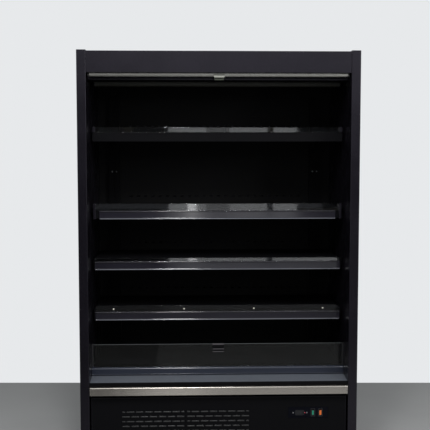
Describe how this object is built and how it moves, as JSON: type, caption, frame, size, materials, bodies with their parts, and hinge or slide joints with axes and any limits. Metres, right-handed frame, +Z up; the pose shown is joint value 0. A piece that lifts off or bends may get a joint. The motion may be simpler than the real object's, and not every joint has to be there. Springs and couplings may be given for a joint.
{
  "type": "open multideck display fridge",
  "caption": "Open-fronted chilled display cabinet with hung shelves, pull-down night blind, clear front riser, bumper and a plug-in refrigeration set behind a louvred lower panel.",
  "frame": {"origin": "middle of the footprint, on the floor under the levelling feet", "axes": "+X to the customer's right, +Y to the rear, +Z up; the open front faces -Y"},
  "size_m": [1.25, 0.72, 1.925],
  "materials": {
    "cabinet_black": "satin powder coat",
    "interior_black": "matte powder coat",
    "sill_grey": "satin",
    "stainless": "brushed",
    "aluminium": "satin anodised",
    "riser_glass": "gloss",
    "riser_plastic": "clear, gloss",
    "channel_plastic": "gloss",
    "strip_plastic": "gloss",
    "black_plastic": "matte",
    "grey_plastic": "satin",
    "lamp_cover": "satin",
    "blind_cloth": "woven, matte",
    "zinc_plate": "zinc plated, satin",
    "coil_metal": "finned, satin",
    "compressor_black": "gloss paint",
    "switch_green_lens": "gloss",
    "switch_amber_lens": "gloss"
  },
  "bodies": {
    "cabinet": {"end_panel_left": "cabinet_black", "end_panel_right": "cabinet_black", "back_panel": "cabinet_black", "roof_panel": "cabinet_black", "canopy_fascia": "cabinet_black", "air_honeycomb": "black_plastic", "ceiling_panel": "interior_black", "canopy_lamp": "lamp_cover", "rear_duct_panel": "interior_black", "upright_left": "interior_black", "upright_right": "interior_black", "glass_channel": "channel_plastic", "front_glass": "riser_glass", "blind_catch": "black_plastic", "front_sill": "sill_grey", "bumper": "stainless", "insulated_well": "interior_black", "return_grille": "interior_black", "control_panel": "black_plastic", "temperature_controller": "black_plastic", "base_frame": "cabinet_black", "power_inlet": "black_plastic", "condenser": "coil_metal", "compressor": "compressor_black", "evaporator": "zinc_plate"},
    "shelf_1": {"shelf_1_tray": "interior_black", "shelf_1_bracket_left": "interior_black", "shelf_1_bracket_right": "interior_black", "shelf_1_riser": "riser_plastic"},
    "shelf_2": {"shelf_2_tray": "interior_black", "shelf_2_bracket_left": "interior_black", "shelf_2_bracket_right": "interior_black", "shelf_2_riser": "riser_plastic", "shelf_2_ticket_strip": "strip_plastic"},
    "shelf_3": {"shelf_3_tray": "interior_black", "shelf_3_bracket_left": "interior_black", "shelf_3_bracket_right": "interior_black", "shelf_3_riser": "riser_plastic", "shelf_3_ticket_strip": "strip_plastic"},
    "shelf_4": {"shelf_4_tray": "interior_black", "shelf_4_bracket_left": "interior_black", "shelf_4_bracket_right": "interior_black", "shelf_4_riser": "riser_plastic", "shelf_4_ticket_strip": "strip_plastic"},
    "blind": {"blind_bar": "aluminium", "blind_grip": "grey_plastic", "blind_fabric": "blind_cloth"},
    "blind_roller": {"blind_roller": "blind_cloth"},
    "deck": {"deck_tray": "interior_black"},
    "lower_panel": {"lower_front_panel": "cabinet_black"},
    "switch_green": {"switch_green": "switch_green_lens"},
    "switch_amber": {"switch_amber": "switch_amber_lens"},
    "controller_button_left": {"controller_button_left": "grey_plastic"},
    "controller_button_right": {"controller_button_right": "grey_plastic"},
    "condenser_fan": {"condenser_fan": "black_plastic"},
    "evaporator_fan": {"evaporator_fan": "black_plastic"},
    "foot_front_left": {"foot_front_left": "zinc_plate"},
    "foot_front_right": {"foot_front_right": "zinc_plate"},
    "foot_rear_left": {"foot_rear_left": "zinc_plate"},
    "foot_rear_right": {"foot_rear_right": "zinc_plate"}
  },
  "joints": [
    {"name": "shelf_1_unhook", "type": "hinge", "parent": "cabinet", "child": "shelf_1", "pos_m": [0, 0.2397, 1.5558], "axis": [-1, 0, 0], "range_deg": [0, 12]},
    {"name": "shelf_2_unhook", "type": "hinge", "parent": "cabinet", "child": "shelf_2", "pos_m": [0, 0.2397, 1.2021], "axis": [-1, 0, 0], "range_deg": [0, 12]},
    {"name": "shelf_3_unhook", "type": "hinge", "parent": "cabinet", "child": "shelf_3", "pos_m": [0, 0.2397, 0.9663], "axis": [-1, 0, 0], "range_deg": [0, 12]},
    {"name": "shelf_4_unhook", "type": "hinge", "parent": "cabinet", "child": "shelf_4", "pos_m": [0, 0.2397, 0.7305], "axis": [-1, 0, 0], "range_deg": [0, 12]},
    {"name": "blind_pull", "type": "slide", "parent": "cabinet", "child": "blind", "axis": [0, 0.0696, -0.9976], "range_m": [0, 1.2192], "stiffness_N_per_m": 6.5, "springref_m": -1.8, "deforming": ["blind_fabric"]},
    {"name": "blind_roll", "type": "hinge", "parent": "cabinet", "child": "blind_roller", "pos_m": [0, -0.279, 1.872], "axis": [1, 0, 0], "range_deg": [0, 3225]},
    {"name": "deck_lift", "type": "slide", "parent": "cabinet", "child": "deck", "axis": [0, 0, 1], "range_m": [0, 0.15]},
    {"name": "lower_panel_pull", "type": "slide", "parent": "cabinet", "child": "lower_panel", "axis": [0, -1, 0], "range_m": [0, 0.15]},
    {"name": "switch_green_rock", "type": "hinge", "parent": "cabinet", "child": "switch_green", "pos_m": [0.426, -0.332, 0.298], "axis": [-1, 0, 0], "range_deg": [0, 14]},
    {"name": "switch_amber_rock", "type": "hinge", "parent": "cabinet", "child": "switch_amber", "pos_m": [0.46, -0.332, 0.298], "axis": [-1, 0, 0], "range_deg": [0, 14]},
    {"name": "controller_button_left_press", "type": "slide", "parent": "cabinet", "child": "controller_button_left", "axis": [0, 1, 0], "range_m": [0, 0.001], "stiffness_N_per_m": 600, "springref_m": -0.001},
    {"name": "controller_button_right_press", "type": "slide", "parent": "cabinet", "child": "controller_button_right", "axis": [0, 1, 0], "range_m": [0, 0.001], "stiffness_N_per_m": 600, "springref_m": -0.001},
    {"name": "condenser_fan_spin", "type": "hinge", "parent": "cabinet", "child": "condenser_fan", "pos_m": [-0.159, -0.2, 0.1683], "axis": [0, 1, 0], "continuous": true},
    {"name": "evaporator_fan_spin", "type": "hinge", "parent": "cabinet", "child": "evaporator_fan", "pos_m": [0, -0.0125, 0.41], "axis": [0, 0, 1], "continuous": true},
    {"name": "foot_front_left_turn", "type": "hinge", "parent": "cabinet", "child": "foot_front_left", "pos_m": [-0.529, -0.27, 0.03], "axis": [0, 0, 1], "continuous": true},
    {"name": "foot_front_right_turn", "type": "hinge", "parent": "cabinet", "child": "foot_front_right", "pos_m": [0.529, -0.27, 0.03], "axis": [0, 0, 1], "continuous": true},
    {"name": "foot_rear_left_turn", "type": "hinge", "parent": "cabinet", "child": "foot_rear_left", "pos_m": [-0.529, 0.3, 0.03], "axis": [0, 0, 1], "continuous": true},
    {"name": "foot_rear_right_turn", "type": "hinge", "parent": "cabinet", "child": "foot_rear_right", "pos_m": [0.529, 0.3, 0.03], "axis": [0, 0, 1], "continuous": true}
  ],
  "couplings": [
    {"joint": "blind_roll", "follows": "blind_pull", "rad_per_m": 46.083}
  ]
}
